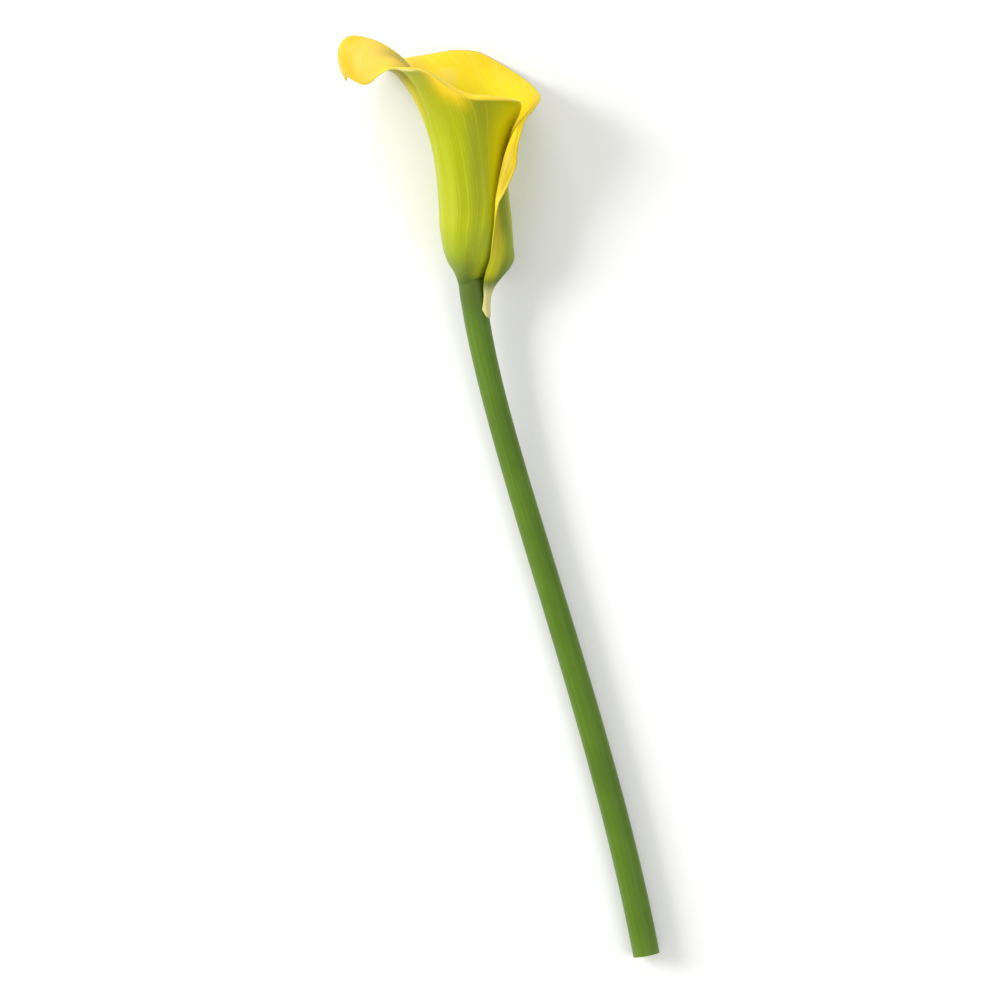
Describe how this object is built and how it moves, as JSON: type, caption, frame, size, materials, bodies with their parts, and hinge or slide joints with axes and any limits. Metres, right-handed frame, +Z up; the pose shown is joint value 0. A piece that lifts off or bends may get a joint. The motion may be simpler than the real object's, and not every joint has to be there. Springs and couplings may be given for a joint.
{
  "type": "arum lily flower",
  "caption": "Cut arum lily bloom lying on its side: a rolled funnel-shaped spathe with a curled tip round a slender spadix, on a smooth curved stem.",
  "frame": {"origin": "middle of the bounding box in X and Y, on the surface that the flower lies on", "axes": "+Y along the flower's length, from the cut end of the stem to the mouth of the spathe; +Z up, away from the surface; +X across, to the right of a viewer who looks down with the mouth at the top"},
  "size_m": [0.1116, 0.3196, 0.0468],
  "materials": {
    "spathe_yellow": "satin",
    "pistil_green": "satin",
    "anther_yellow": "matte",
    "stem_green": "satin"
  },
  "bodies": {
    "root": {"spathe": "spathe_yellow", "spadix_pistils": "pistil_green", "spadix_anthers": "anther_yellow", "stem": "stem_green"}
  },
  "joints": []
}
